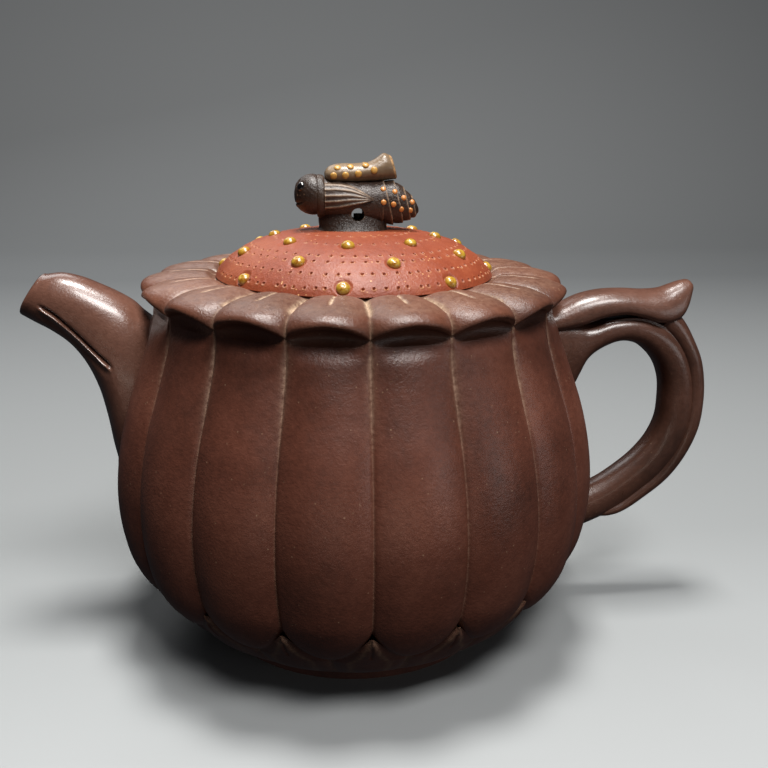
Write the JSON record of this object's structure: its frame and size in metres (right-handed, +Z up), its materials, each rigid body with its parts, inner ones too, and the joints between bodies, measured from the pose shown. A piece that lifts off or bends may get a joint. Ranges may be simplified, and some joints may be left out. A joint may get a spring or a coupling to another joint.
{
  "type": "clay teapot",
  "caption": "Petal-sided unglazed clay teapot with curved spout, looped handle and a lift-off seed-dotted lid with an insect finial.",
  "frame": {"origin": "centre of the foot ring's flat underside, on the table", "axes": "+X towards the handle and -X towards the spout, +Z up through the lid's finial, -Z out of the foot"},
  "size_m": [0.1438, 0.099, 0.099],
  "materials": {
    "dark_clay": "unglazed dark purple-brown fired clay, fine speckle, satin from handling",
    "red_clay": "unglazed red-orange fired clay, satin, with rows of pinholes",
    "ochre_clay": "yellow ochre fired clay, rubbed glossy",
    "insect_clay": "brown fired clay with pale rubbed edges",
    "black_clay": "glossy black"
  },
  "bodies": {
    "pot": {"pot_wall": "dark_clay", "base_disc": "dark_clay", "foot_ring": "dark_clay", "calyx_sepals": "dark_clay", "shoulder_petals": "dark_clay", "mouth_collar": "dark_clay", "spout": "dark_clay", "spout_folds": "dark_clay", "handle_loop": "dark_clay", "handle_spine": "dark_clay", "thumb_rest": "dark_clay"},
    "lid_flange": {"lid_flange": "red_clay"},
    "lid": {"lid_cap": "red_clay", "lid_seeds": "ochre_clay", "finial_pad": "insect_clay", "insect_thorax": "insect_clay", "insect_head": "insect_clay", "insect_collar": "insect_clay", "insect_eyes": "black_clay", "insect_wing_left": "insect_clay", "insect_wing_right": "insect_clay", "insect_abdomen": "insect_clay", "insect_back_case": "insect_clay", "insect_abdomen_spots": "ochre_clay", "insect_case_spots": "ochre_clay"}
  },
  "joints": [
    {"name": "lid_lift", "type": "slide", "parent": "pot", "child": "lid_flange", "axis": [0, 0, 1], "range_m": [0, 0.06]},
    {"name": "lid_turn", "type": "hinge", "parent": "lid_flange", "child": "lid", "pos_m": [0, 0, 0.075], "axis": [0, 0, 1], "continuous": true}
  ]
}
